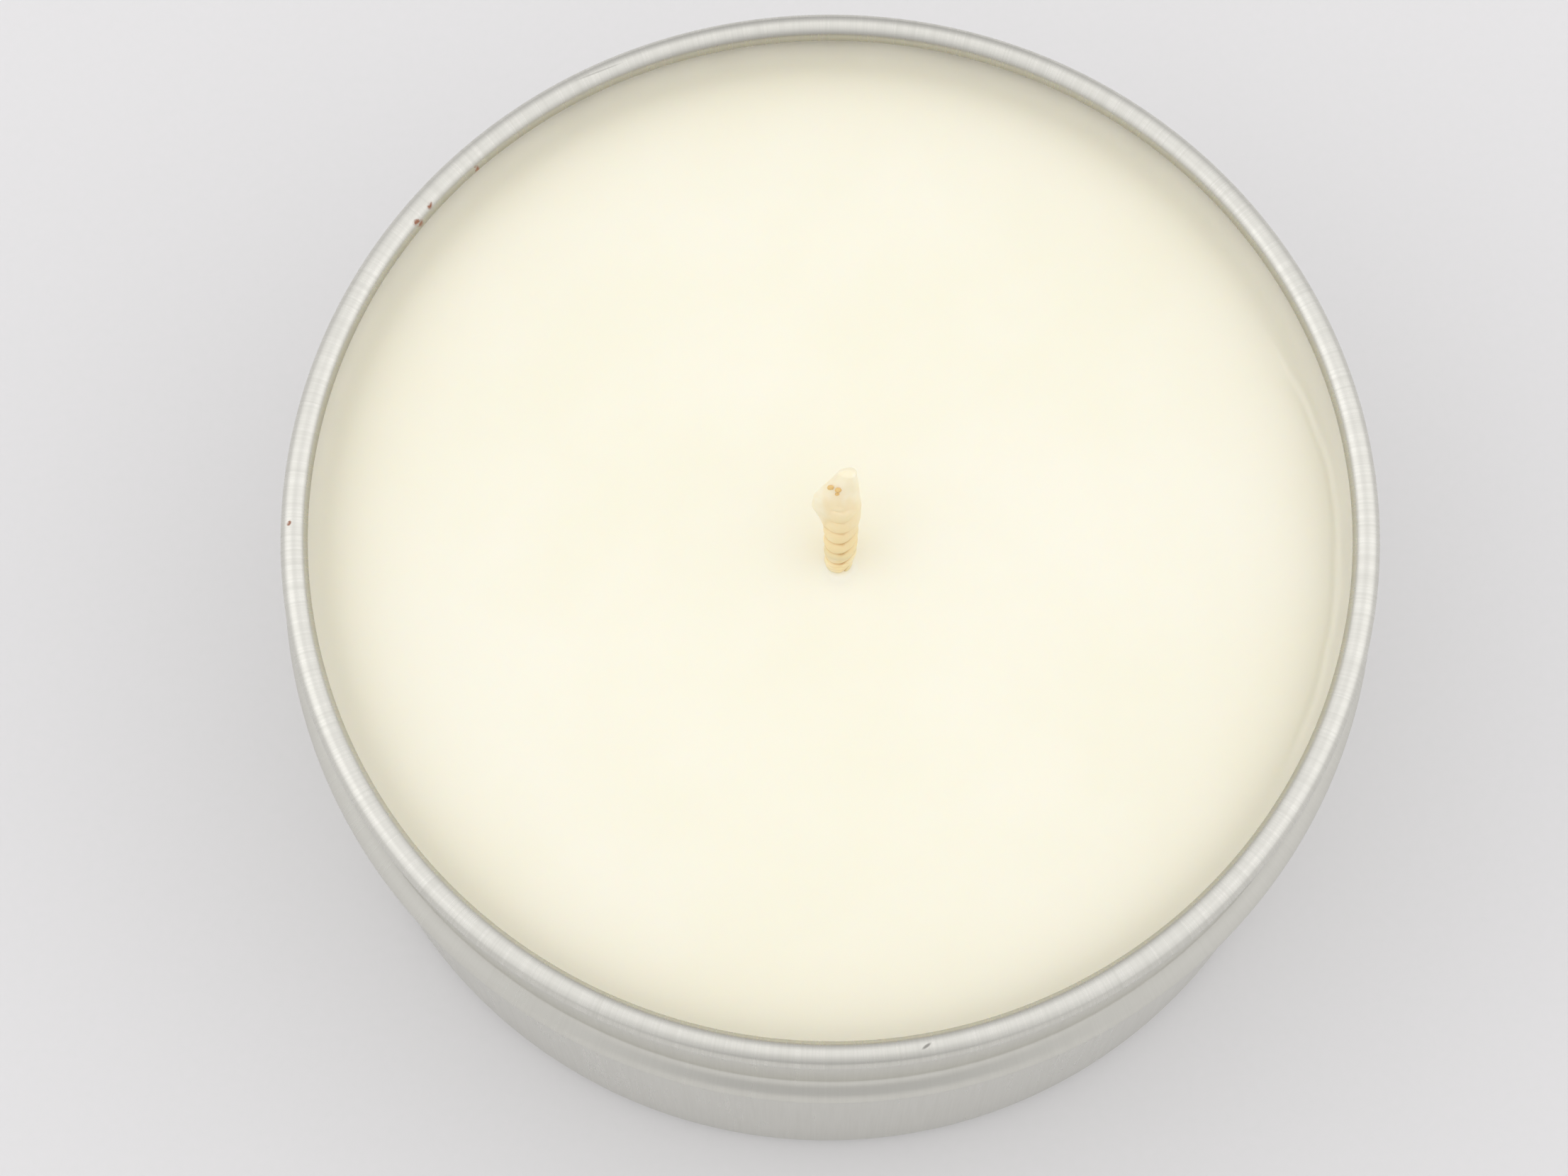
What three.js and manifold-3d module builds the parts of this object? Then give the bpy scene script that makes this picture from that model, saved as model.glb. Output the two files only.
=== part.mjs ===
// A poured container candle: a drawn aluminium tin with a curled rim, filled with soy wax around one
// braided cotton wick that stands in a metal sustainer stuck to the floor of the tin.
// Millimetres, +Z up, origin at the middle of the face that the tin stands on. -Y is the front.
import * as THREE from "three";
import { mergeVertices } from "three/addons/utils/BufferGeometryUtils.js";
import Module from "manifold-3d";

// --- the tin ---
const bodyRadius = 38.85; // outside of the straight lower wall
const height = 40.3; // floor to the top of the rim
const wall = 0.3; // thickness of the drawn sheet
const cornerRadius = 1.7; // outside of the bottom edge
const footWidth = 3.2; // flat ring that the tin stands on, inside the bottom edge
const panelRise = 0.8; // how far the floor panel stands above the foot ring
const panelSlope = 1.6; // width of the bend between the foot ring and the panel
const ringStandOut = 1.1; // how far the lid's stop ring stands out of the lower wall
const ringDepth = 10.9; // rim top down to the crest of the stop ring
const ringReturn = 1.3; // height of the bend under the crest
const ringFlare = 2.2; // height of the slope above the crest
const ringCrown = 0.28; // share of a ring slope's height that is bend, at each of its ends
const neckInset = 0.2; // how far the neck lies inside the lower wall
const rimStandOut = 0.15; // how far the curl stands out of the lower wall
const curlRadius = 0.96; // outside of the curled rim's section
const curlStart = -40; // degrees round the curl's section, where the neck joins it
const curlEnd = 250; // degrees, where the cut edge of the sheet ends inside
const curlLead = 1; // height of the bend that leads the neck into the curl

// --- the fill ---
const waxBelowRim = 4.2; // rim top down to the level wax
const meniscusRise = 0.6; // how far the wax climbs at the wall
const meniscusWidth = 2.6; // how far in from the wall it starts to climb
const wickDipDepth = 0.15; // shallow dip around the wick
const wickDipRadius = 7;
const fitGap = 0.3; // between the wax and whatever it is poured against

// --- the wick and what holds it ---
const wickX = 0.7;
const wickY = -2.4;
const wickRadius = 0.95; // outside of the braid
const coreRadius = 0.38;
const coreGap = 0.12; // between the core and the braid
const tipRise = 9; // tip above the wax
const tipLean = new THREE.Vector2(0.65, 4.2); // tip's offset from the foot of the wick
const bendBelow = 1.2; // the wick starts to bend this far below the level wax
const uprightTo = 0.14; // share of the tip's rise that pulls straight up
const leanBy = new THREE.Vector3(-0.2, 2, 4.5); // halfway pull of the bend, from the wick's exit
const coatGap = 0.1; // between the braid and its wax coat
const coatThickness = 0.12;
const coatFrom = 1.3; // up the wick from the wax
const coatTo = 0.45; // short of the tip
// bulges of the coat: share of its length, spread, direction round the wick, height
const coatBulges = [
  { at: 0.62, spread: 0.16, turn: Math.PI, out: 0.62 },
  { at: 0.44, spread: 0.2, turn: 0, out: 0.34 },
];
const stackGap = 0.15; // between floor, sticker and sustainer
const stickerRadius = 9.5;
const stickerThickness = 0.9;
const sustainerRadius = 10;
const sustainerSheet = 0.3;
const collarHeight = 6; // the sustainer's neck, which grips the wick
const collarGap = 0.3; // between the wick and the collar
const collarFillet = 0.9;
const filletWaist = 0.3; // share of the fillet that its middle point keeps, as an arc does

// --- how finely the round stretches are cut ---
const roundSides = 48;
const smallSides = 32;
const wickSides = 12;
const sheetSteps = 4; // points to a bend of the sheet
const surfaceSteps = 3; // rings of points on each curved stretch of the wax surface
const wickStep = 0.9; // between rings of points where the wick bends

const v2 = (r, z) => new THREE.Vector2(r, z);
const waxLevel = height - waxBelowRim;
const panelTop = panelRise + wall;

// The middle line of the drawn sheet, from the axis out along the floor, up the wall and round the curl.
function sheetLine() {
  const half = wall / 2;
  const bodyMid = bodyRadius - half;
  const corner = cornerRadius - half;
  const footOuter = bodyMid - corner;
  const footInner = footOuter - footWidth;
  const panelEdge = footInner - panelSlope;
  const crestHeight = height - ringDepth;
  const crest = bodyMid + ringStandOut;
  const neck = bodyMid - neckInset;
  const curlMiddle = v2(bodyRadius + rimStandOut - curlRadius, height - curlRadius);
  const curlMid = curlRadius - half;
  const start = THREE.MathUtils.degToRad(curlStart);
  const join = v2(curlMid * Math.cos(start), curlMid * Math.sin(start)).add(curlMiddle);
  const heading = v2(-Math.sin(start), Math.cos(start)).multiplyScalar(curlLead / 2);
  const line = new THREE.Path();
  line.moveTo(0, panelRise + half);
  line.lineTo(panelEdge, panelRise + half);
  line.bezierCurveTo(
    panelEdge + panelSlope / 2, panelRise + half,
    footInner - panelSlope / 2, half,
    footInner, half,
  );
  line.absarc(footOuter, half + corner, corner, -Math.PI / 2, 0, false);
  line.lineTo(bodyMid, crestHeight - ringReturn);
  line.bezierCurveTo(
    bodyMid, crestHeight - ringReturn * (1 - ringCrown),
    crest, crestHeight - ringReturn * ringCrown,
    crest, crestHeight,
  );
  line.bezierCurveTo(
    crest, crestHeight + ringFlare * ringCrown,
    neck, crestHeight + ringFlare * (1 - ringCrown),
    neck, crestHeight + ringFlare,
  );
  line.lineTo(neck, join.y - curlLead);
  line.bezierCurveTo(
    neck, join.y - curlLead / 2,
    join.x - heading.x, join.y - heading.y,
    join.x, join.y,
  );
  line.absarc(curlMiddle.x, curlMiddle.y, curlMid, start, THREE.MathUtils.degToRad(curlEnd), false);
  return line;
}

// The points of a path, without repeats; each bend gets the same number of steps.
function pointsOf(path, steps) {
  return path.getPoints(steps).filter((p, i, all) => i === 0 || p.distanceTo(all[i - 1]) > 1e-4);
}

// A line moved sideways: positive goes to the right of its direction, which is out of the tin.
function offsetLine(points, distance) {
  return points.map((p, i) => {
    const before = points[Math.max(i - 1, 0)];
    const after = points[Math.min(i + 1, points.length - 1)];
    const along = after.clone().sub(before).normalize();
    return v2(Math.max(p.x + along.y * distance, 0), p.y - along.x * distance);
  });
}

// A closed outline turned round +Z.
function turned(outline, sides) {
  return new THREE.LatheGeometry(outline, sides).rotateX(Math.PI / 2);
}

function closed(outline) {
  return [...outline, outline[0].clone()];
}

function tinGeometry() {
  const middle = pointsOf(sheetLine(), sheetSteps);
  const outside = offsetLine(middle, wall / 2);
  const inside = offsetLine(middle, -wall / 2).reverse();
  return turned([...outside, ...inside], roundSides);
}

// Height of the wax surface at a distance from the axis.
function waxTop(radius, wallRadius) {
  const climb = THREE.MathUtils.smoothstep(radius, wallRadius - meniscusWidth, wallRadius);
  const dip = 1 - THREE.MathUtils.smoothstep(radius, 0, wickDipRadius);
  return waxLevel + meniscusRise * climb * climb - wickDipDepth * dip;
}

// The wax takes the inside of the tin, a gap in from the sheet, up to its own surface.
function waxOutline() {
  const against = offsetLine(pointsOf(sheetLine(), sheetSteps), -wall / 2 - fitGap);
  const wallRadius = bodyRadius - neckInset - wall - fitGap;
  const edge = v2(wallRadius, waxTop(wallRadius, wallRadius));
  const sides = against.slice(0, against.findIndex((p) => p.y > waxLevel));
  const radii = [];
  for (let i = 1; i <= surfaceSteps; i++) radii.push(wallRadius - (meniscusWidth * i) / surfaceSteps);
  for (let i = surfaceSteps; i >= 0; i--) radii.push((wickDipRadius * i) / surfaceSteps);
  return [...sides, edge, ...radii.map((radius) => v2(radius, waxTop(radius, wallRadius)))];
}

// The space that the wax leaves round the sticker, the sustainer and the wick, open at both ends.
function pocketOutline() {
  const base = stackBase();
  const wide = Math.max(stickerRadius, sustainerRadius) + fitGap;
  const tabTop = base.sustainer + sustainerSheet + fitGap;
  const collar = wickRadius + collarGap + sustainerSheet + fitGap;
  const collarTop = base.sustainer + collarHeight + fitGap;
  const hole = wickRadius + fitGap;
  const past = 5; // runs out through the floor side and the surface
  return [
    v2(0, panelTop - past),
    v2(wide, panelTop - past),
    v2(wide, tabTop),
    v2(collar + collarFillet, tabTop),
    v2(collar, tabTop + collarFillet),
    v2(collar, collarTop),
    v2(hole, collarTop + collar - hole),
    v2(hole, height + past),
    v2(0, height + past),
  ];
}

// Heights of the undersides of the pieces stacked on the floor.
function stackBase() {
  const sticker = panelTop + stackGap;
  return { sticker, sustainer: sticker + stickerThickness + stackGap };
}

function solidOf(wasm, geometry) {
  const bare = geometry.clone();
  bare.deleteAttribute("normal");
  bare.deleteAttribute("uv");
  const merged = mergeVertices(bare, 1e-3);
  return new wasm.Manifold(
    new wasm.Mesh({
      numProp: 3,
      vertProperties: merged.attributes.position.array,
      triVerts: new Uint32Array(merged.index.array),
    }),
  );
}

function geometryOf(solid) {
  const mesh = solid.getMesh();
  return new THREE.BufferGeometry()
    .setAttribute("position", new THREE.BufferAttribute(mesh.vertProperties, 3))
    .setIndex(new THREE.BufferAttribute(mesh.triVerts, 1));
}

function waxGeometry(wasm) {
  const fill = solidOf(wasm, turned(waxOutline(), roundSides));
  const pocket = turned(pocketOutline(), smallSides).translate(wickX, wickY, 0);
  return geometryOf(fill.subtract(solidOf(wasm, pocket)));
}

// The wick's line: straight up out of the sustainer, then leaning away to the back.
function wickLine() {
  const foot = new THREE.Vector3(wickX, wickY, stackBase().sustainer + stackGap);
  const exit = new THREE.Vector3(wickX, wickY, waxLevel);
  const bendFrom = new THREE.Vector3(wickX, wickY, waxLevel - bendBelow);
  const tip = new THREE.Vector3(wickX + tipLean.x, wickY + tipLean.y, waxLevel + tipRise);
  const line = new THREE.CurvePath();
  line.add(new THREE.LineCurve3(foot, bendFrom));
  line.add(
    new THREE.CubicBezierCurve3(
      bendFrom,
      new THREE.Vector3(wickX, wickY, waxLevel + tipRise * uprightTo),
      exit.clone().add(leanBy),
      tip,
    ),
  );
  return line;
}

// A piece turned round +Z, with its height taken as the distance along the wick's line.
function alongWick(geometry, line) {
  const length = line.getLength();
  const place = geometry.attributes.position;
  const side = new THREE.Vector3();
  const point = new THREE.Vector3();
  for (let i = 0; i < place.count; i++) {
    const share = THREE.MathUtils.clamp(place.getZ(i) / length, 0, 1);
    const ahead = line.getTangentAt(share);
    side.set(1, 0, 0).addScaledVector(ahead, -ahead.x).normalize();
    const back = new THREE.Vector3().crossVectors(ahead, side);
    point.copy(line.getPointAt(share));
    point.addScaledVector(side, place.getX(i)).addScaledVector(back, place.getY(i));
    place.setXYZ(i, point.x, point.y, point.z);
  }
  return geometry;
}

// Distances along the wick where its pieces have a ring of points: few below the wax, many above.
function wickSteps(line, from, to) {
  const bendAt = line.curves[0].getLength();
  const steps = [from];
  if (from < bendAt) steps.push(bendAt);
  const first = steps.at(-1);
  const count = Math.ceil((to - first) / wickStep);
  for (let i = 1; i <= count; i++) steps.push(first + ((to - first) * i) / count);
  return steps;
}

function braidGeometry(line) {
  const steps = wickSteps(line, 0, line.getLength());
  const outer = steps.map((s) => v2(wickRadius, s));
  const inner = steps.map((s) => v2(coreRadius + coreGap, s)).reverse();
  return alongWick(turned(closed([...outer, ...inner]), wickSides), line);
}

function coreGeometry(line) {
  const steps = wickSteps(line, 0, line.getLength());
  const skin = steps.map((s) => v2(coreRadius, s));
  const ends = [v2(0, 0), v2(0, line.getLength())];
  return alongWick(turned([ends[0], ...skin, ends[1]], wickSides), line);
}

// Wax that set on the braid: a thin coat with a bulge to the left and one to the right.
function coatGeometry(line) {
  const from = line.curves[0].getLength() + bendBelow + coatFrom;
  const to = line.getLength() - coatTo;
  const inner = wickRadius + coatGap;
  const steps = wickSteps(line, from, to);
  const outer = steps.map((s) => v2(inner + coatThickness, s));
  const bore = steps.map((s) => v2(inner, s)).reverse();
  const geometry = turned(closed([...outer, ...bore]), wickSides);
  const place = geometry.attributes.position;
  for (let i = 0; i < place.count; i++) {
    const radius = Math.hypot(place.getX(i), place.getY(i));
    if (radius < inner + coatThickness / 2) continue;
    const share = (place.getZ(i) - from) / (to - from);
    const angle = Math.atan2(place.getY(i), place.getX(i));
    let grow = 0;
    for (const b of coatBulges) {
      const facing = Math.max(0, Math.cos(angle - b.turn));
      grow += b.out * facing * facing * Math.exp(-(((share - b.at) / b.spread) ** 2));
    }
    place.setX(i, place.getX(i) * (1 + grow / radius));
    place.setY(i, place.getY(i) * (1 + grow / radius));
  }
  return alongWick(geometry, line);
}

function sustainerGeometry() {
  const base = stackBase().sustainer;
  const bore = wickRadius + collarGap;
  const collar = bore + sustainerSheet;
  const top = base + sustainerSheet;
  const outline = [
    v2(bore, base),
    v2(sustainerRadius, base),
    v2(sustainerRadius, top),
    v2(collar + collarFillet, top),
    v2(collar + collarFillet * filletWaist, top + collarFillet * filletWaist),
    v2(collar, top + collarFillet),
    v2(collar, base + collarHeight),
    v2(bore, base + collarHeight),
  ];
  return turned(closed(outline), smallSides).translate(wickX, wickY, 0);
}

function stickerGeometry() {
  const base = stackBase().sticker;
  const outline = [
    v2(0, base),
    v2(stickerRadius, base),
    v2(stickerRadius, base + stickerThickness),
    v2(0, base + stickerThickness),
  ];
  return turned(outline, smallSides).translate(wickX, wickY, 0);
}

const finishes = {
  aluminium: { color: 0xc4c4bd, roughness: 0.35, metalness: 1 },
  soyWax: { color: 0xfaf8e4, roughness: 0.45, metalness: 0 },
  cotton: { color: 0xebd6a8, roughness: 0.9, metalness: 0 },
  paper: { color: 0xd9c7a0, roughness: 0.95, metalness: 0 },
  waxCoat: { color: 0xeee6c8, roughness: 0.4, metalness: 0 },
  tinplate: { color: 0xb9bcbd, roughness: 0.3, metalness: 1 },
  foam: { color: 0xf2f1ec, roughness: 0.9, metalness: 0 },
};

function piece(name, geometry, finish) {
  const mesh = new THREE.Mesh(geometry, new THREE.MeshStandardMaterial(finish));
  mesh.name = name;
  return mesh;
}

const wasm = await Module();
wasm.setup();
const line = wickLine();
const candle = new THREE.Group();
candle.add(piece("tin_body", tinGeometry(), finishes.aluminium));
candle.add(piece("wax_fill", waxGeometry(wasm), finishes.soyWax));
candle.add(piece("wick_braid", braidGeometry(line), finishes.cotton));
candle.add(piece("wick_core", coreGeometry(line), finishes.paper));
candle.add(piece("wick_wax_coat", coatGeometry(line), finishes.waxCoat));
candle.add(piece("wick_sustainer", sustainerGeometry(), finishes.tinplate));
candle.add(piece("wick_sticker", stickerGeometry(), finishes.foam));

export default candle;
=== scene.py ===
"""A poured container candle: a drawn aluminium tin with a curled rim, soy wax, and one plaited wick.

Millimetres are used for every size here and turned to metres where a mesh is made. The tin stands on
z = 0 with its axis on +Z, and -Y is its front.
"""

import math

import bmesh
import bpy
from mathutils import Matrix, Vector, noise


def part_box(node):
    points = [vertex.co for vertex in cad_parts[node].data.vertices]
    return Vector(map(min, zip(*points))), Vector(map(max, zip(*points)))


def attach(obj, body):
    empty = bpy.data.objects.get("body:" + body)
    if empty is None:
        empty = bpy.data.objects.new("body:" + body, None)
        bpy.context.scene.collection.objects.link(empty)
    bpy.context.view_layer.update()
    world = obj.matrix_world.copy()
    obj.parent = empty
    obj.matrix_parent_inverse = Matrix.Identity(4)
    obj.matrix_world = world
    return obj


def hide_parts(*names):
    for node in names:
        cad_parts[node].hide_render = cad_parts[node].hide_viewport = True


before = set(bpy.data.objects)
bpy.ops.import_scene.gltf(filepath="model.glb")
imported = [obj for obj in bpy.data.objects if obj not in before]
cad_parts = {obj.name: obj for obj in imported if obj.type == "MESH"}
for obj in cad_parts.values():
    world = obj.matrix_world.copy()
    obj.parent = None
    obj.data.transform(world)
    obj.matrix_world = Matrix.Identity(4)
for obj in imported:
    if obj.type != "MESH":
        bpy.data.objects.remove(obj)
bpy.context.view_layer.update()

MM = 0.001


def box_mm(name):
    """A CAD node's lowest and highest corners in millimetres."""
    low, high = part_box(name)
    return low / MM, high / MM


# --- the tin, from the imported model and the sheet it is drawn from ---
TIN_HIGH = box_mm("tin_body")[1]
RING_STAND_OUT = 1.1  # the lid's stop ring stands this far out of the lower wall
BODY_RADIUS = TIN_HIGH.x - RING_STAND_OUT
RIM_FLATTENING = 0.03  # the curl is a true arc here, a little higher than its CAD facets
HEIGHT = TIN_HIGH.z + RIM_FLATTENING
SHEET = 0.3
CORNER_RADIUS = 1.7
FOOT_WIDTH = 3.2
PANEL_RISE = 0.8
PANEL_SLOPE = 1.6
RING_DEPTH = 10.9
RING_RETURN = 1.3
RING_FLARE = 2.2
RING_CROWN = 0.4
NECK_INSET = 0.2
RIM_STAND_OUT = 0.15
CURL_RADIUS = 0.96
CURL_START = -40
CURL_END = 250
CURL_LEAD = 1
CURL_CENTRE = (BODY_RADIUS + RIM_STAND_OUT - CURL_RADIUS, HEIGHT - CURL_RADIUS)
INNER_EDGE = BODY_RADIUS + RIM_STAND_OUT - 2 * CURL_RADIUS
WAVER_DEPTH = 4  # the rim's unevenness dies out this far down

# --- the wax ---
MENISCUS_RISE = 0.6
MENISCUS_WIDTH = 2.6
MENISCUS_RAGGED = 0.25  # share of its rise by which the meniscus varies along the wall
WAX_LEVEL = box_mm("wax_fill")[1].z - MENISCUS_RISE
WAX_CLEAR = 0.02  # between the wax and the tin it set against
WAX_RADIUS = BODY_RADIUS - NECK_INSET - SHEET - WAX_CLEAR
DIP_DEPTH = 0.15
DIP_RADIUS = 7
WICK_CLIMB = 0.5  # the wax climbs this far up the wick
WICK_CLIMB_WIDTH = 0.45
UNEVENNESS = 0.05
# the thin fold in the wax on the right is a groove with a lower ridge outside it
FOLD_INSET = 2.0  # how far in from the wall the groove runs
FOLD_DRIFT = 1.6  # and how much further in it gets, between these two angles round the tin
FOLD_DRIFT_SPAN = (math.radians(4), math.radians(30))
FOLD_WAVER = 0.2
FOLD_STARTS = (math.radians(-34), math.radians(-20))  # it fades in between these two angles
FOLD_ENDS = (0.3, 0.55)  # and out between these, in radians
GROOVE_DEPTH = 0.05
GROOVE_WIDTH = 0.24
RIDGE_RISE = 0.04
RIDGE_WIDTH = 0.3
RIDGE_OUTSIDE = 0.45  # from the middle of the groove out to the middle of the ridge

# --- the wick ---
STICKER_LOW, STICKER_HIGH = box_mm("wick_sticker")
SUSTAINER_LOW, SUSTAINER_HIGH = box_mm("wick_sustainer")
WICK_X = (STICKER_LOW.x + STICKER_HIGH.x) / 2
WICK_Y = (STICKER_LOW.y + STICKER_HIGH.y) / 2
WICK_RADIUS = 0.95
TIP_RISE = 9
TIP_LEAN = Vector((0.25, 4.2, 0))
FOOT_CLEAR = 0.15  # between the wick's foot and the underside of the sustainer
BEND_BELOW = 1.2  # the wick starts to bend this far under the wax
BEND_LEAVES = Vector((0, 0.35, 1.5))  # the pull of the bend at its start
BEND_ARRIVES = Vector((0.15, 1.6, 3.2))  # and at its end
COLLAR_GAP = 0.3  # between the wick and the sustainer's collar
COLLAR_FILLET = 0.9
POCKET_GAP = 0.3  # between the sustainer and the wax round it


# ------------------------------------------------------------------ camera, floor and light


def put_camera():
    """Looks down at the front of the tin from the height of someone standing over a table."""
    elevation = math.radians(74.42)
    roll = math.radians(0.6)
    distance = 276.9  # along the line of sight, to the level of the rim's middle
    aside = 3.3  # the line of sight passes this far to the left of the tin's middle
    below = 4.62  # and this far below it
    right = Vector((1, 0, 0))
    up = Vector((0, math.sin(elevation), math.cos(elevation)))
    forward = Vector((0, math.cos(elevation), -math.sin(elevation)))
    rim_middle = Vector((0, 0, HEIGHT - CURL_RADIUS))
    place = rim_middle - aside * right - below * up - distance * forward
    across = math.cos(roll) * right - math.sin(roll) * up
    upright = math.sin(roll) * right + math.cos(roll) * up
    turn = Matrix((across, upright, -forward)).transposed().to_4x4()
    camera = bpy.data.objects.new("camera", bpy.data.cameras.new("camera"))
    camera.data.sensor_width = 36
    camera.data.lens = 89.5
    camera.data.clip_start = 0.01
    camera.data.clip_end = 20
    camera.matrix_world = Matrix.Translation(place * MM) @ turn
    bpy.context.scene.collection.objects.link(camera)
    bpy.context.scene.camera = camera


def put_soft_box(name, place, size, watts):
    """A soft box that faces the tin: its middle, and its width and height."""
    lamp = bpy.data.lights.new(name, "AREA")
    lamp.shape = "RECTANGLE"
    lamp.size = size[0] * MM
    lamp.size_y = size[1] * MM
    lamp.energy = watts
    light = bpy.data.objects.new(name, lamp)
    light.location = Vector(place) * MM
    tin_middle = Vector((0, 0, 20))
    light.rotation_euler = (Vector(place) - tin_middle).to_track_quat("Z", "Y").to_euler()
    bpy.context.scene.collection.objects.link(light)


def light_the_table():
    """A pale room, brightest overhead and to both sides, that dims down to the far wall and more to the
    front, where someone stands. One weak soft box hangs over the far side and one at each side."""
    put_soft_box("overhead_box", (0, 330, 560), (560, 420), 0.07)
    put_soft_box("left_box", (-420, 40, 470), (380, 420), 0.1)
    put_soft_box("right_box", (420, 40, 470), (380, 420), 0.055)
    world = bpy.data.worlds.new("pale_room")
    world.use_nodes = True
    tree = world.node_tree
    tree.nodes.clear()
    way = add(tree, "TexCoord", {}, "Generated")
    aside = add(tree, "Math", [add(tree, "SeparateXYZ", [way], "X")], operation="ABSOLUTE")
    ahead = add(tree, "SeparateXYZ", [way], "Y")
    up = add(tree, "SeparateXYZ", [way], "Z")
    overhead = add(tree, "MapRange", [up, 0, 0.35, 0.84, 1.18])
    far_wall = add(tree, "MapRange", [ahead, 0.35, 0.95, 1, 0.6])
    someone = add(tree, "Math", [add(tree, "MapRange", [ahead, -0.95, -0.15, 0.4, 0]),
                                 add(tree, "MapRange", [aside, 0.3, 0.9, 1, 0.35])], operation="MULTIPLY")
    clear = add(tree, "Math", [far_wall, someone], operation="SUBTRACT")
    sides = add(tree, "MapRange", [aside, 0.15, 0.45, 0.95, 1.06])
    glow = add(tree, "Math", [overhead, clear], operation="MULTIPLY")
    glow = add(tree, "Math", [glow, sides], operation="MULTIPLY")
    room = add(tree, "Background", {"Color": linear("fefdff"), "Strength": glow})
    add(tree, "OutputWorld", {"Surface": room})
    bpy.context.scene.world = world


# ------------------------------------------------------------------ nodes and colours


def linear(colour):
    """An sRGB hex value as linear red, green, blue and one."""
    parts = [int(colour[i : i + 2], 16) / 255 for i in (0, 2, 4)]
    return [c / 12.92 if c <= 0.04045 else ((c + 0.055) / 1.055) ** 2.4 for c in parts] + [1]


def add(tree, kind, inputs, out=0, **settings):
    """Adds a node with its settings and links, and gives one of its outputs. Inputs go by name, or as
    a list in the node's own order, and each is a value or another node's output. A MapRange's list is
    the value, the span that it comes from, and the span that it is moved to and held in."""
    made = tree.nodes.new("ShaderNode" + kind)
    for name, value in settings.items():
        setattr(made, name, value)
    pairs = inputs.items() if isinstance(inputs, dict) else enumerate(inputs)
    for key, value in pairs:
        if isinstance(value, bpy.types.NodeSocket):
            tree.links.new(value, made.inputs[key])
        else:
            made.inputs[key].default_value = value
    return made.outputs[out] if made.outputs else None


def finish_of(name, shader_inputs, surface):
    """A material whose shader takes these inputs, and those that surface(tree) makes from nodes."""
    material = bpy.data.materials.new(name)
    material.use_nodes = True
    tree = material.node_tree
    tree.nodes.clear()
    shader = add(tree, "BsdfPrincipled", {**shader_inputs, **surface(tree)})
    add(tree, "OutputMaterial", {"Surface": shader})
    return material


def place_mm(tree):
    """Where a point of the surface is, in millimetres, so that a noise's scale is waves to a mm."""
    metres = add(tree, "TexCoord", {}, "Object")
    return add(tree, "VectorMath", [metres, (1 / MM,) * 3], operation="MULTIPLY")


def from_axis_mm(tree, place):
    """How far a point is from the tin's axis."""
    level = add(tree, "VectorMath", [place, (1, 1, 0)], operation="MULTIPLY")
    return add(tree, "VectorMath", [level], "Value", operation="LENGTH")


def oval_marks(tree, place, marks):
    """One inside any of some soft-edged ovals that lie level, and none outside. Each mark is its
    middle, its length and width, the way it runs in degrees, and how dark it is, up to one."""
    highest = None
    for centre, size, turn, depth in marks:
        inside = add(tree, "Mapping", {"Vector": place, "Location": centre,
                                       "Rotation": (0, 0, math.radians(turn)),
                                       "Scale": (size[0] / 2, size[1] / 2, 1)}, vector_type="TEXTURE")
        gap = add(tree, "VectorMath", [inside, (0, 0, 0)], "Value", operation="DISTANCE")
        mark = add(tree, "MapRange", [gap, 0.5, 1, depth, 0])
        highest = mark if highest is None else add(tree, "Math", [highest, mark], operation="MAXIMUM")
    return highest


# ------------------------------------------------------------------ materials


# small rust specks on the rim: middle, length and width, the way it runs in degrees, how dark
RUST_SPECKS = [
    ((-29.5, 22.8, 40.1), (1.0, 0.6), 20, 1),
    ((-28.7, 24.1, 40.0), (0.7, 0.4), 75, 1),
    ((-25.35, 27.1, 39.4), (0.5, 0.4), 30, 1),
    ((-38.3, 0.1, 40.2), (0.5, 0.35), 60, 1),
]
# the same for a nick and a faint scratch
RIM_MARKS = [
    ((6.1, -37.6, 40.1), (0.9, 0.26), 35, 0.7),
    ((-16.4, 34.3, 40.2), (4.4, 0.16), 22, 0.3),
]


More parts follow.
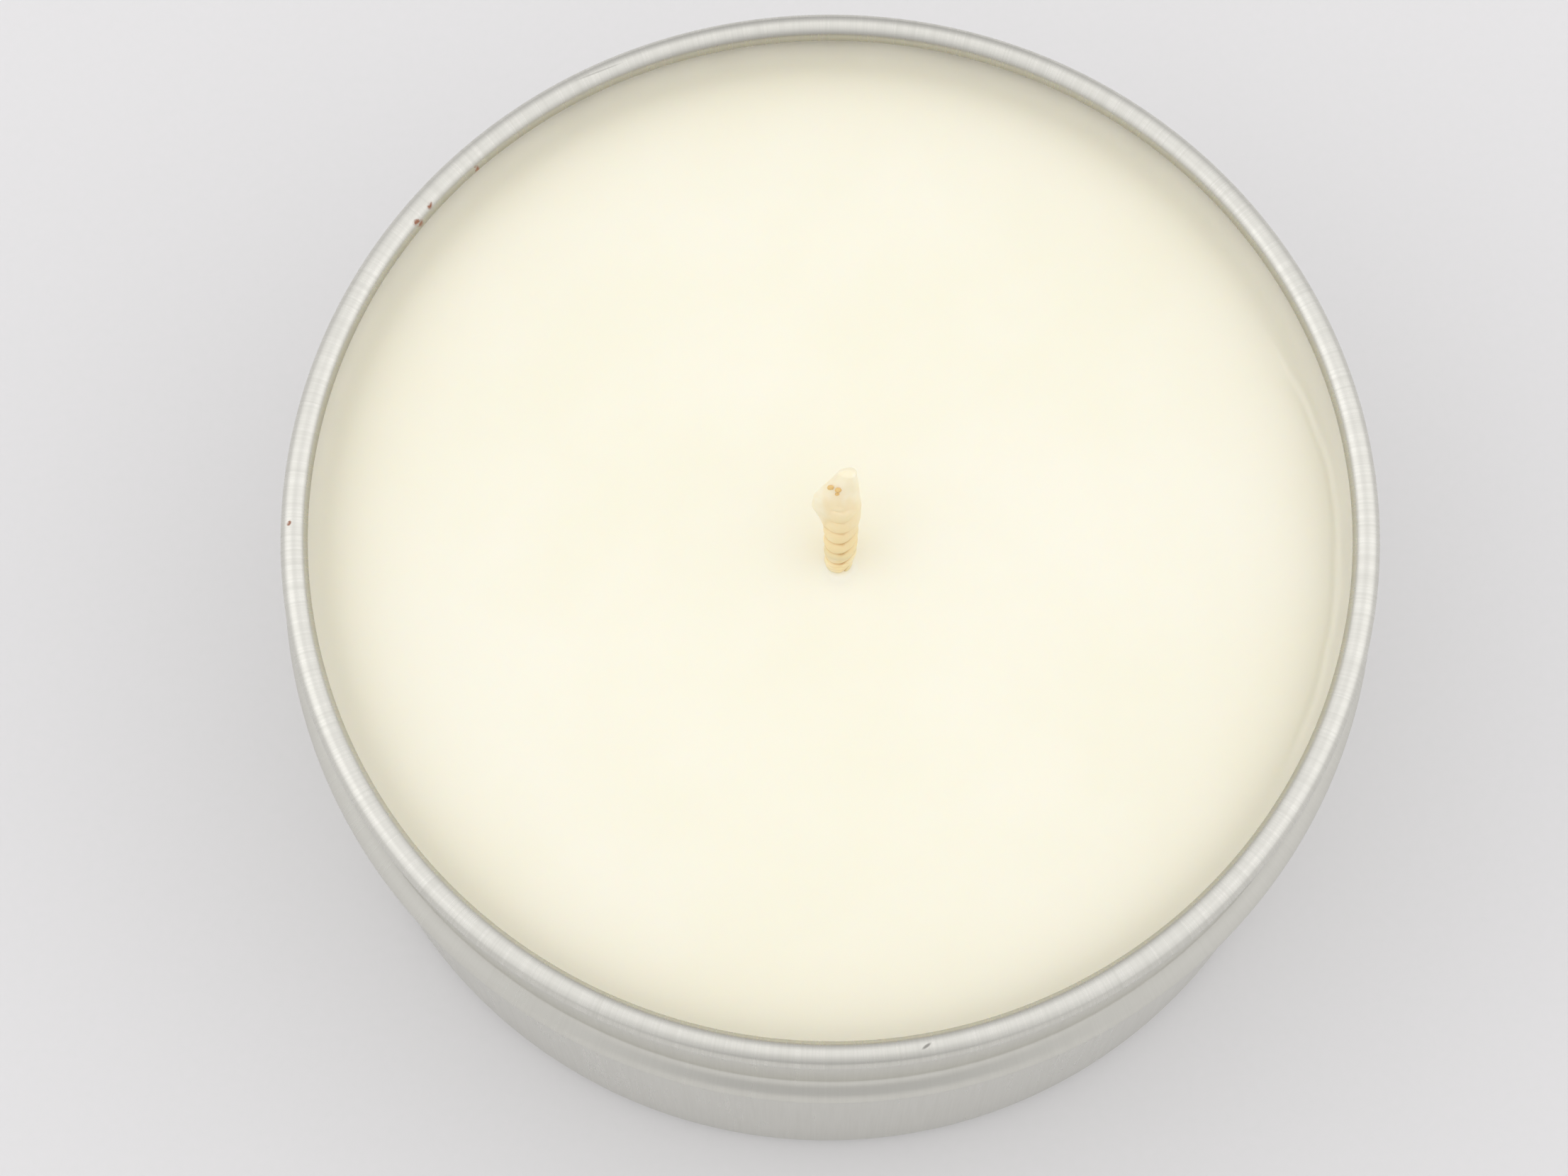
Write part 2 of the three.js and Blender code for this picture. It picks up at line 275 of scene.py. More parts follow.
def drawn_aluminium():
    """Aluminium sheet drawn to a cup in one die: satin, pale grey, with fine marks from the die that
    run up the wall and over the curl. Each mark turns the gloss a little, so light breaks into short
    streaks. The inner side of the curl, above the wax, is painted darker: painted shade and a
    painted reflection of the dim wax edge. Handling left a few rust-brown specks and a scratch on the rim."""

    def surface(tree):
        sheet = add(tree, "Attribute", {}, "Vector", attribute_name="sheet_mm")
        place = place_mm(tree)
        up = add(tree, "SeparateXYZ", [place], "Z")
        # die marks are about 0.05 mm apart; drawn 0.17 mm apart, so that they show, and 10 mm long
        fine_place = add(tree, "VectorMath", [sheet, (6, 6, 0.1)], operation="MULTIPLY")
        fine = add(tree, "TexNoise", {"Vector": fine_place, "Scale": 1, "Detail": 1})
        # the wider bands that the marks gather in, 0.6 mm apart
        broad_place = add(tree, "VectorMath", [sheet, (1.6, 1.6, 0.05)], operation="MULTIPLY")
        broad = add(tree, "TexNoise", {"Vector": broad_place, "Scale": 1, "Detail": 2})
        # lids and fingers polish the wall below the curl, so its marks are fainter
        kept = add(tree, "MapRange", [up, HEIGHT - 4.5, HEIGHT - 2.5, 0.35, 1])
        both = add(tree, "Math", [fine, broad])
        off_middle = add(tree, "Math", [both, 1.0], operation="SUBTRACT")
        mark = add(tree, "Math", [off_middle, kept, 1.0], operation="MULTIPLY_ADD")
        bright = add(tree, "MapRange", [mark, 0.7, 1.3, 0, 1])
        metal = add(tree, "Mix", {"Factor": bright, "A": linear("cfcec6"), "B": linear("d8d7cf")}, "Result",
                    data_type="RGBA")
        # painted shade and painted reflection: the inner side of the curl above the wax is mixed towards a
        # dark grey
        above_wax = add(tree, "MapRange", [up, WAX_LEVEL, WAX_LEVEL + 0.5, 0, 0.75])
        inward = add(tree, "MapRange", [from_axis_mm(tree, place), INNER_EDGE, INNER_EDGE + 0.45, 1, 0])
        painted_inner_shade = add(tree, "Math", [inward, above_wax], operation="MULTIPLY")
        metal = add(tree, "Mix", {"Factor": painted_inner_shade, "A": metal, "B": linear("a6a399")}, "Result",
                    data_type="RGBA")
        # handling leaves cloudy patches some 11 mm wide
        cloud = add(tree, "TexNoise", {"Vector": place, "Scale": 0.09, "Detail": 2})
        satin = add(tree, "MapRange", [mark, 0.75, 1.25, 0.3, 0.21])
        rough = add(tree, "Math", [cloud, 0.08, satin], operation="MULTIPLY_ADD")
        # rust grows in grains of about 0.4 mm
        grain = add(tree, "TexNoise", {"Vector": place, "Scale": 2.4, "Detail": 2})
        grainy = add(tree, "MapRange", [grain, 0.38, 0.5, 0.15, 1])
        rust = add(tree, "Math", [oval_marks(tree, place, RUST_SPECKS), grainy], operation="MULTIPLY")
        colour = add(tree, "Mix", {"Factor": rust, "A": metal, "B": linear("93634a")}, "Result",
                     data_type="RGBA")
        nick = oval_marks(tree, place, RIM_MARKS)
        colour = add(tree, "Mix", {"Factor": nick, "A": colour, "B": linear("6c6a64")}, "Result",
                     data_type="RGBA")
        relief = add(tree, "Math", [broad, kept], operation="MULTIPLY")
        bump = add(tree, "Bump", {"Height": relief, "Strength": 0.06, "Distance": 0.01 * MM})
        metallic = add(tree, "MapRange", [rust, 0, 1, 1, 0.2])
        return {"Base Color": colour, "Roughness": rough, "Metallic": metallic, "Normal": bump}

    return finish_of("drawn_aluminium", {}, surface)


def soy_wax():
    """Poured soy wax: a soft, creamy white solid with a satin skin. Light goes some millimetres into
    it, which softens every shadow. Faint frosting leaves paler clouds. Towards the wall the cream is
    painted a little warmer, as painted warm light bounced off the tin's wall."""

    def surface(tree):
        place = place_mm(tree)
        # clouds of frosting some 14 mm wide, and a grain of about 1 mm
        cloud = add(tree, "TexNoise", {"Vector": place, "Scale": 0.07, "Detail": 3})
        grain = add(tree, "TexNoise", {"Vector": place, "Scale": 0.9, "Detail": 4})
        frosted = add(tree, "MapRange", [cloud, 0.35, 0.65, 0, 1])
        cream = add(tree, "Mix", {"Factor": frosted, "A": linear("f4f1dc"), "B": linear("f6f3e1")}, "Result",
                    data_type="RGBA")
        # painted light: towards the wall the cream is tinted warmer, standing in for warm light bounced off
        # the tin's wall
        painted_bounce_share = add(tree, "MapRange", [from_axis_mm(tree, place), BODY_RADIUS - 12, BODY_RADIUS, 0, 1])
        warm = add(tree, "Math", [painted_bounce_share, 1.7], operation="POWER")
        colour = add(tree, "Mix", {"Factor": warm, "A": cream, "B": linear("fbf3db")}, "Result",
                     data_type="RGBA")
        rough = add(tree, "MapRange", [cloud, 0, 1, 0.5, 0.6])
        bump = add(tree, "Bump", {"Height": grain, "Strength": 0.12, "Distance": 0.05 * MM})
        return {"Base Color": colour, "Roughness": rough, "Normal": bump}

    return finish_of("soy_wax", {
        "IOR": 1.44,
        "Subsurface Weight": 0.3,
        "Subsurface Radius": (5 * MM, 4 * MM, 2.5 * MM),
        "Subsurface Scale": 1.0,
    }, surface)


def painted_groove_shade(tree):
    """One in the grooves of the plait, falling to none on its ribs: how much painted shade a groove gets."""
    rib = add(tree, "Attribute", {}, "Fac", attribute_name="rib_height")
    return add(tree, "MapRange", [rib, 0, 0.55, 0.8, 0])


def cotton_yarn():
    """Waxed cotton yarn: warm tan where the wax has soaked in, painted browner in the grooves as
    painted shade, matt, with fine fibres along it."""

    def surface(tree):
        yarn = add(tree, "Attribute", {}, "Vector", attribute_name="yarn_mm")
        # the fibres of a rib run round the wick with it, 0.1 mm apart as drawn
        fibre_place = add(tree, "VectorMath", [yarn, (1.2, 1.2, 10)], operation="MULTIPLY")
        fibre = add(tree, "TexNoise", {"Vector": fibre_place, "Scale": 1, "Detail": 3})
        # wax soaked in unevenly, in patches of about 1 mm
        patch = add(tree, "TexNoise", {"Vector": place_mm(tree), "Scale": 0.9, "Detail": 2})
        soaked = add(tree, "MapRange", [patch, 0.35, 0.65, 0, 1])
        tan = add(tree, "Mix", {"Factor": soaked, "A": linear("f8e3ab"), "B": linear("faeabe")}, "Result",
                  data_type="RGBA")
        # painted shade: the grooves of the plait are mixed towards a darker brown
        tan = add(tree, "Mix", {"Factor": painted_groove_shade(tree), "A": tan, "B": linear("d2a568")}, "Result",
                  data_type="RGBA")
        between = add(tree, "MapRange", [fibre, 0.35, 0.6, 0.3, 0])
        colour = add(tree, "Mix", {"Factor": between, "A": tan, "B": linear("dcb57a")}, "Result",
                     data_type="RGBA")
        bump = add(tree, "Bump", {"Height": fibre, "Strength": 0.5, "Distance": 0.03 * MM})
        return {"Base Color": colour, "Normal": bump}

    return finish_of("cotton_yarn", {
        "Roughness": 0.75,
        "IOR": 1.5,
        "Subsurface Weight": 0.3,
        "Subsurface Radius": (0.8 * MM, 0.5 * MM, 0.25 * MM),
        "Subsurface Scale": 1.0,
        "Sheen Weight": 0.2,
    }, surface)


def cut_cotton():
    """The cut ends of the yarns: a deeper golden tan, because wax soaks in most at a cut."""

    def surface(tree):
        # tufts of about 0.3 mm
        tuft = add(tree, "TexNoise", {"Vector": place_mm(tree), "Scale": 3, "Detail": 2})
        colour = add(tree, "Mix", {"Factor": tuft, "A": linear("dfb05e"), "B": linear("f2d79c")}, "Result",
                     data_type="RGBA")
        return {"Base Color": colour}

    return finish_of("cut_cotton", {"Roughness": 0.8}, surface)


def wick_wax():
    """Wax that set on the wick: the same soy wax, creamy and a little glossy. Where it is a thin film
    the tan ribs of the plait show through, with the grooves between them painted browner as painted shade."""

    def surface(tree):
        # runs and drops of about 1.2 mm
        cloud = add(tree, "TexNoise", {"Vector": place_mm(tree), "Scale": 0.8, "Detail": 2})
        clouded = add(tree, "MapRange", [cloud, 0.35, 0.65, 0, 1])
        wax = add(tree, "Mix", {"Factor": clouded, "A": linear("f5ecd0"), "B": linear("faf3dc")}, "Result",
                  data_type="RGBA")
        # painted shade: under a thin film the grooves of the plait are painted browner
        yarn = add(tree, "Mix", {"Factor": painted_groove_shade(tree), "A": linear("f3deac"), "B": linear("dcb87a")},
                   "Result", data_type="RGBA")
        thin = add(tree, "Attribute", {}, "Fac", attribute_name="yarn_under")
        colour = add(tree, "Mix", {"Factor": thin, "A": wax, "B": yarn}, "Result", data_type="RGBA")
        bump = add(tree, "Bump", {"Height": cloud, "Strength": 0.3, "Distance": 0.1 * MM})
        return {"Base Color": colour, "Normal": bump}

    return finish_of("wick_wax", {
        "Roughness": 0.38,
        "IOR": 1.44,
        "Subsurface Weight": 0.3,
        "Subsurface Radius": (1 * MM, 0.8 * MM, 0.5 * MM),
        "Subsurface Scale": 1.0,
    }, surface)


def twisted_paper():
    """A thin twisted paper cord inside the plait, which keeps the wick upright: matt kraft tan."""

    def surface(tree):
        # flecks of pulp about 0.25 mm wide
        pulp = add(tree, "TexNoise", {"Vector": place_mm(tree), "Scale": 4, "Detail": 4})
        colour = add(tree, "Mix", {"Factor": pulp, "A": linear("cdb588"), "B": linear("e2d2ac")}, "Result",
                     data_type="RGBA")
        bump = add(tree, "Bump", {"Height": pulp, "Strength": 0.4, "Distance": 0.02 * MM})
        return {"Base Color": colour, "Normal": bump}

    return finish_of("twisted_paper", {"Roughness": 0.9}, surface)


def tinplate():
    """Thin tin-plated steel, pressed: bright and cool, with the grain of the rolled strip."""

    def surface(tree):
        # the strip's grain runs along X, in lines about 0.17 mm apart
        strip = add(tree, "VectorMath", [place_mm(tree), (0.4, 6, 6)], operation="MULTIPLY")
        grain = add(tree, "TexNoise", {"Vector": strip, "Scale": 1, "Detail": 3})
        colour = add(tree, "Mix", {"Factor": grain, "A": linear("b4b8ba"), "B": linear("cfd2d3")}, "Result",
                     data_type="RGBA")
        rough = add(tree, "MapRange", [grain, 0, 1, 0.22, 0.38])
        bump = add(tree, "Bump", {"Height": grain, "Strength": 0.2, "Distance": 0.01 * MM})
        return {"Base Color": colour, "Roughness": rough, "Normal": bump}

    return finish_of("tinplate", {"Metallic": 1}, surface)


def adhesive_foam():
    """Closed-cell foam tape, die cut: matt off-white with cells about 0.15 mm across."""

    def surface(tree):
        cells = add(tree, "TexVoronoi", {"Vector": place_mm(tree), "Scale": 1 / 0.15})
        colour = add(tree, "Mix", {"Factor": cells, "A": linear("e6e4dc"), "B": linear("f5f4ef")}, "Result",
                     data_type="RGBA")
        bump = add(tree, "Bump", {"Height": cells, "Strength": 0.5, "Distance": 0.04 * MM})
        return {"Base Color": colour, "Normal": bump}

    return finish_of("adhesive_foam", {"Roughness": 0.9}, surface)


def white_card():
    """Plain matt card under the tin, with a slight tooth of about 0.7 mm."""

    def surface(tree):
        tooth = add(tree, "TexNoise", {"Vector": place_mm(tree), "Scale": 1.4, "Detail": 3})
        colour = add(tree, "Mix", {"Factor": tooth, "A": linear("e0e0df"), "B": linear("e3e2e2")}, "Result",
                     data_type="RGBA")
        bump = add(tree, "Bump", {"Height": tooth, "Strength": 0.1, "Distance": 0.05 * MM})
        return {"Base Color": colour, "Normal": bump}

    return finish_of("white_card", {"Roughness": 0.85}, surface)


# ------------------------------------------------------------------ mesh helpers


def bend(start, first_pull, second_pull, end, steps):
    """Points of a cubic bend after its start."""
    points = []
    for i in range(1, steps + 1):
        t = i / steps
        u = 1 - t
        weights = (u**3, 3 * u * u * t, 3 * u * t * t, t**3)
        parts = (start, first_pull, second_pull, end)
        points.append(tuple(sum(w * p[k] for w, p in zip(weights, parts)) for k in range(len(start))))
    return points


def arc(middle, radius, first, last, steps):
    """Points of an arc from one angle to another, in degrees."""
    points = []
    for i in range(steps + 1):
        angle = math.radians(first + (last - first) * i / steps)
        points.append((middle[0] + radius * math.cos(angle), middle[1] + radius * math.sin(angle)))
    return points


def straight(start, end, steps):
    """Points of a straight stretch after its start."""
    return [tuple(a + (b - a) * i / steps for a, b in zip(start, end)) for i in range(1, steps + 1)]


def beside(points, distance):
    """A line moved sideways; positive goes to the right of its direction, which is out of the tin."""
    moved = []
    for i, (r, z) in enumerate(points):
        before = points[max(i - 1, 0)]
        after = points[min(i + 1, len(points) - 1)]
        along = (Vector(after) - Vector(before)).normalized()
        moved.append((max(r + along.y * distance, 0), z - along.x * distance))
    return moved


def smooth(value, low, high):
    """None at the low value, one at the high value, and an S curve between them."""
    share = min(max((value - low) / (high - low), 0), 1)
    return share * share * (3 - 2 * share)


def between_rows(rows, at, column):
    """A column of a table at a place between two of its rows, in straight steps."""
    for low, high in zip(rows, rows[1:]):
        if at <= high[0] + 1e-9:
            return low[column] + (high[column] - low[column]) * (at - low[0]) / (high[0] - low[0])
    return rows[-1][column]


def mesh_object(bm, name):
    """An object in the scene that holds a finished mesh."""
    mesh = bpy.data.meshes.new(name)
    bm.to_mesh(mesh)
    bm.free()
    made = bpy.data.objects.new(name, mesh)
    bpy.context.scene.collection.objects.link(made)
    return made


def piece_from(bm, name, material, node):
    """A piece that stands for a CAD node, rides on the tin's body and has one material."""
    bmesh.ops.recalc_face_normals(bm, faces=bm.faces)
    piece = mesh_object(bm, name)
    piece.data.materials.append(material)
    for face in piece.data.polygons:
        face.use_smooth = True
    piece.data.set_sharp_from_angle(angle=math.radians(50))
    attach(piece, "root")
    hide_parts(node)
    return piece


def turned(outline, sides, shape=None, grain=None, middle=(0, 0), closed=False):
    """A mesh turned round an upright axis from (radius, height) points in mm. shape(x, y, z) may move
    a point, and grain(radius, angle, index) gives the place on the flat sheet it came from."""
    bm = bmesh.new()
    layer = bm.verts.layers.float_vector.new("sheet_mm") if grain else None
    rings = []
    for index, (radius, z) in enumerate(outline):
        count = 1 if radius < 1e-6 else sides
        ring = []
        for k in range(count):
            angle = 2 * math.pi * k / sides
            point = (middle[0] + radius * math.cos(angle), middle[1] + radius * math.sin(angle), z)
            if shape:
                point = shape(*point)
            vert = bm.verts.new(Vector(point) * MM)
            if grain:
                vert[layer] = grain(radius, angle, index)
            ring.append(vert)
        rings.append(ring)
    ends = rings[1:] + ([rings[0]] if closed else [])
    for first, second in zip(rings, ends):
        for k in range(sides):
            corners = [first[k % len(first)], first[(k + 1) % sides % len(first)],
                       second[(k + 1) % sides % len(second)], second[k % len(second)]]
            kept = list(dict.fromkeys(corners))
            if len(kept) > 2:
                bm.faces.new(kept)
    return bm


def tube(stations, sides, radius_at, layer_name=None, height_at=None, yarn_at=None):
    """A closed tube through (point, right, back) stations; radius_at(index, angle) gives its skin.
    The named layer keeps a place along the yarn, with height_at and yarn_at beside it."""
    bm = bmesh.new()
    layer = bm.verts.layers.float_vector.new(layer_name) if layer_name else None
    swell = bm.verts.layers.float.new("rib_height") if height_at else None
    yarn = bm.verts.layers.float.new("yarn_under") if yarn_at else None
    rings = []
    travelled = 0
    for index, (point, right, back) in enumerate(stations):
        if index:
            travelled += (point - stations[index - 1][0]).length
        ring = []
        for k in range(sides):
            angle = 2 * math.pi * k / sides
            reach = radius_at(index, angle)
            place = point + right * (reach * math.cos(angle)) + back * (reach * math.sin(angle))
            vert = bm.verts.new(place * MM)
            if layer:
                vert[layer] = (math.cos(angle), math.sin(angle), travelled)
            if swell:
                vert[swell] = height_at(index, angle)
            if yarn:
                vert[yarn] = yarn_at(index, angle)
            ring.append(vert)
        rings.append(ring)
    for first, second in zip(rings, rings[1:]):
        for k in range(sides):
            after = (k + 1) % sides
            bm.faces.new((first[k], first[after], second[after], second[k]))
    for ring, (point, _, _) in ((rings[0], stations[0]), (rings[-1], stations[-1])):
        middle = bm.verts.new(point * MM)
        for k in range(sides):
            bm.faces.new((ring[k], ring[(k + 1) % sides], middle))
    return bm


# ------------------------------------------------------------------ the tin


def sheet_line(steps):
    """The middle line of the drawn sheet, from the axis out along the floor, up and round the curl."""
    half = SHEET / 2
    body = BODY_RADIUS - half
    corner = CORNER_RADIUS - half
    foot_outer = body - corner
    foot_inner = foot_outer - FOOT_WIDTH
    panel_edge = foot_inner - PANEL_SLOPE
    crest_z = HEIGHT - RING_DEPTH
    crest = body + RING_STAND_OUT
    neck = body - NECK_INSET
    curl_mid = CURL_RADIUS - half
    start = math.radians(CURL_START)
    join = (CURL_CENTRE[0] + curl_mid * math.cos(start), CURL_CENTRE[1] + curl_mid * math.sin(start))
    heading = (-math.sin(start) * CURL_LEAD / 2, math.cos(start) * CURL_LEAD / 2)
    line = [(0, PANEL_RISE + half)]
    line += straight(line[-1], (panel_edge, PANEL_RISE + half), 12)
    line += bend(line[-1], (panel_edge + PANEL_SLOPE / 2, PANEL_RISE + half),
                 (foot_inner - PANEL_SLOPE / 2, half), (foot_inner, half), steps)
    line += arc((foot_outer, half + corner), corner, -90, 0, steps)
    line += straight(line[-1], (body, crest_z - RING_RETURN), 8)
    line += bend(line[-1], (body, crest_z - RING_RETURN * (1 - RING_CROWN)),
                 (crest, crest_z - RING_RETURN * RING_CROWN), (crest, crest_z), steps)
    line += bend(line[-1], (crest, crest_z + RING_FLARE * RING_CROWN),
                 (neck, crest_z + RING_FLARE * (1 - RING_CROWN)), (neck, crest_z + RING_FLARE), steps)
    line += straight(line[-1], (neck, join[1] - CURL_LEAD), 5)
    line += bend(line[-1], (neck, join[1] - CURL_LEAD / 2),
                 (join[0] - heading[0], join[1] - heading[1]), join, steps)
    line += arc(CURL_CENTRE, curl_mid, CURL_START, CURL_END, 3 * steps)[1:]
    return line


def waver(x, y, z):
    """A spun curl is never quite even: the rim rises, falls and moves by a few hundredths."""
    share = min(max((z - (HEIGHT - WAVER_DEPTH)) / WAVER_DEPTH, 0), 1)
    angle = math.atan2(y, x)
    out = 0.03 * math.sin(2 * angle + 0.6) + 0.02 * math.sin(5 * angle + 2.1)
    up = 0.025 * math.sin(3 * angle + 1.2) + 0.015 * math.sin(7 * angle)
    grown = 1 + share * out / BODY_RADIUS
    return (x * grown, y * grown, z + share * up)


def make_tin(finish):
    """One sheet, hollow, with the open slit of its curl."""
    middle = sheet_line(10)
    outline = beside(middle, SHEET / 2) + beside(middle, -SHEET / 2)[::-1]
    lengths = [0.0]
    for before, after in zip(middle, middle[1:]):
        lengths.append(lengths[-1] + math.dist(before, after))
    lengths += lengths[::-1]
    flat_edge = BODY_RADIUS - CORNER_RADIUS - FOOT_WIDTH - PANEL_SLOPE

    def grain(radius, angle, index):
        if radius < flat_edge:
            return (radius * math.cos(angle), 0, radius * math.sin(angle))
        return (BODY_RADIUS * math.cos(angle), BODY_RADIUS * math.sin(angle), lengths[index])

    bm = turned(outline, 360, waver, grain)
    piece_from(bm, "drawn_tin", finish, "tin_body")


# ------------------------------------------------------------------ the wax


def wax_fold(x, y):
    """Where the wax let go of the tin on the right, a thin wavy fold runs just in from the wall."""
    angle = math.atan2(y, x)
    middle = WAX_RADIUS - FOLD_INSET - FOLD_DRIFT * smooth(angle, *FOLD_DRIFT_SPAN)
    middle += FOLD_WAVER * noise.noise(Vector((x, y, 5)) * 0.8)
    off = math.hypot(x, y) - middle
    there = smooth(angle, *FOLD_STARTS) * (1 - smooth(angle, *FOLD_ENDS))
    groove = GROOVE_DEPTH * there * math.exp(-((off / GROOVE_WIDTH) ** 2))
    ridge = RIDGE_RISE * there * math.exp(-(((off - RIDGE_OUTSIDE) / RIDGE_WIDTH) ** 2))
    return ridge - groove


def wax_skin(x, y, z):
    """The set surface: a meniscus at the wall, a dip round the wick with a small climb up it, the fold
    on the right, and slow unevenness."""
    if z < WAX_LEVEL - 0.01:
        return (x, y, z)
    radius = math.hypot(x, y)
    uneven = noise.noise(Vector((x, y, 3)) * 0.11) * UNEVENNESS
    climb = smooth(radius, WAX_RADIUS - MENISCUS_WIDTH, WAX_RADIUS) ** 2
    ragged = 1 + MENISCUS_RAGGED * noise.noise(Vector((x, y, 9)) * 0.35)
    edge = MENISCUS_RISE * climb * ragged
    from_wick = math.hypot(x - WICK_X, y - WICK_Y)
    dip = DIP_DEPTH * (1 - smooth(from_wick, 0, DIP_RADIUS))
    collar = WICK_CLIMB * math.exp(-max(from_wick - WICK_RADIUS, 0) / WICK_CLIMB_WIDTH)
    return (x, y, z + uneven * (1 - climb) + edge - dip + collar + wax_fold(x, y))


def make_wax(finish):
    """The fill, with the space it leaves round the sustainer and its sticker."""
    inside = beside(sheet_line(6), -SHEET / 2 - WAX_CLEAR)
    side = inside[: next(i for i, p in enumerate(inside) if p[1] > WAX_LEVEL)]
    # rings of points 0.12 mm apart where the meniscus bends, and further apart inside it
    top = [(WAX_RADIUS - 0.12 * i, WAX_LEVEL) for i in range(26)]
    top += straight(top[-1], (DIP_RADIUS, WAX_LEVEL), 40)
    top += straight(top[-1], (0, WAX_LEVEL), 36)
    bm = turned(side + top, 300, wax_skin)
    piece = piece_from(bm, "poured_wax", finish, "wax_fill")
    wide = max(STICKER_HIGH.x - STICKER_LOW.x, SUSTAINER_HIGH.x - SUSTAINER_LOW.x) / 2 + POCKET_GAP
    collar = WICK_RADIUS + COLLAR_GAP + SHEET + POCKET_GAP
    tab_top = SUSTAINER_LOW.z + SHEET + POCKET_GAP
    collar_top = SUSTAINER_HIGH.z + POCKET_GAP
    under_floor = PANEL_RISE + SHEET - 2
    pocket = [(0, under_floor), (wide, under_floor), (wide, tab_top), (collar, tab_top + COLLAR_FILLET),
              (collar, collar_top), (0, collar_top + 0.6)]
    tool_bm = turned(pocket, 64, middle=(WICK_X, WICK_Y))
    bmesh.ops.recalc_face_normals(tool_bm, faces=tool_bm.faces)
    tool = mesh_object(tool_bm, "pocket")
    cutter = piece.modifiers.new("pocket", "BOOLEAN")
    cutter.object = tool
    cutter.operation = "DIFFERENCE"
    cutter.solver = "EXACT"
    apply_modifiers(piece)
    bpy.data.objects.remove(tool)


def apply_modifiers(piece):
    """The piece keeps the mesh that its modifiers make, and no modifier."""
    seen = piece.evaluated_get(bpy.context.evaluated_depsgraph_get())
    made = bpy.data.meshes.new_from_object(seen)
    made.name = piece.name
    piece.modifiers.clear()
    piece.data = made


# ------------------------------------------------------------------ the wick


class WickLine:
    """The middle of the wick, by distance along it: up out of the sustainer, then leaning back."""

    def __init__(self):
        foot = Vector((WICK_X, WICK_Y, SUSTAINER_LOW.z + FOOT_CLEAR))
        bend_from = Vector((WICK_X, WICK_Y, WAX_LEVEL - BEND_BELOW))
        exit_point = Vector((WICK_X, WICK_Y, WAX_LEVEL))
        tip = exit_point + TIP_LEAN + Vector((0, 0, TIP_RISE))
        points = [foot] + [Vector(p) for p in straight(foot, bend_from, 60)]
        bent = bend(bend_from, bend_from + BEND_LEAVES, tip - BEND_ARRIVES, tip, 60)
        points += [Vector(p) for p in bent]
        self.points = points
        self.lengths = [0.0]
        for before, after in zip(points, points[1:]):
            self.lengths.append(self.lengths[-1] + (after - before).length)
        self.length = self.lengths[-1]
        above = next(i for i, p in enumerate(points) if p.z >= WAX_LEVEL)
        self.exit = self.lengths[above]

    def at(self, distance):
        """The point at a distance along, the way ahead, and the two ways across (right and back)."""
        distance = min(max(distance, 0), self.length)
        i = next(k for k in range(1, len(self.lengths)) if self.lengths[k] >= distance - 1e-9)
        step = self.lengths[i] - self.lengths[i - 1]
        share = (distance - self.lengths[i - 1]) / step
        point = self.points[i - 1].lerp(self.points[i], share)
        ahead = self.way(i - 1).lerp(self.way(i), share).normalized()
        right = (Vector((1, 0, 0)) - ahead * ahead.x).normalized()
        return point, ahead, right, ahead.cross(right)

    def way(self, i):
        """The way ahead at one of the line's own points."""
        low = self.points[max(i - 1, 0)]
        high = self.points[min(i + 1, len(self.points) - 1)]
        return (high - low).normalized()


RIB_PITCH = 1.18  # along the wick, from one rib of the plait to the next
RIB_DEPTH = 0.28
RIB_STAND_OUT = 0.26  # the ribs swell past the plait's mean radius
# the four rows of ribs round a plaited cord: the way each faces in degrees from the right, how far up
# the wick it starts as a share of the pitch, and how steeply its ribs climb
RIB_ROWS = [(-128, 0.0, 0.05), (-38, 0.55, 0.8), (52, 0.1, -0.5), (142, 0.6, 0.4)]
RIB_LENGTH = 1.3  # half of a rib's length, round the wick
RIB_WIDTH = 0.57  # half of its width, along the wick
RIB_TOP = WICK_RADIUS + RIB_STAND_OUT


def rib_height(angle, distance):
    """How far the plait swells at a place on its skin, from 0 in a groove to 1 on a rib."""
    highest = 0
    for facing, start, climb in RIB_ROWS:
        turn = (math.degrees(angle) - facing + 180) % 360 - 180
        round_it = math.radians(turn) * WICK_RADIUS
        along = distance - start * RIB_PITCH - climb * round_it
        off = along - round(along / RIB_PITCH) * RIB_PITCH
        inside = 1 - (round_it / RIB_LENGTH) ** 2 - (off / RIB_WIDTH) ** 2
        highest = max(highest, inside)
    return math.sqrt(highest)


def plait_skin(angle, distance):
    """How far the plait reaches from its middle."""
    return RIB_TOP - RIB_DEPTH * (1 - rib_height(angle, distance))


PLAIT_ABOVE = 8.5  # the plait ends this far up from the wax, inside its coat
PLAIT_STEP = 0.06  # between the rings of points that can be seen
BURIED_STEP = 0.16  # and those in the wax
END_RINGS = 14  # the plait's end rounds off over so many rings
END_TAPER = 0.5  # share of its width that the plait loses towards its end
END_TAPER_SPAN = (5.6, 8.4)  # between these heights
PINCH = 0.06  # share by which the plait is narrower where it leaves the wax
PINCH_RIGHT = 0.16  # and how much more than that it is on its right
PINCH_SPAN = (0.2, 1.6)  # it widens again between these heights


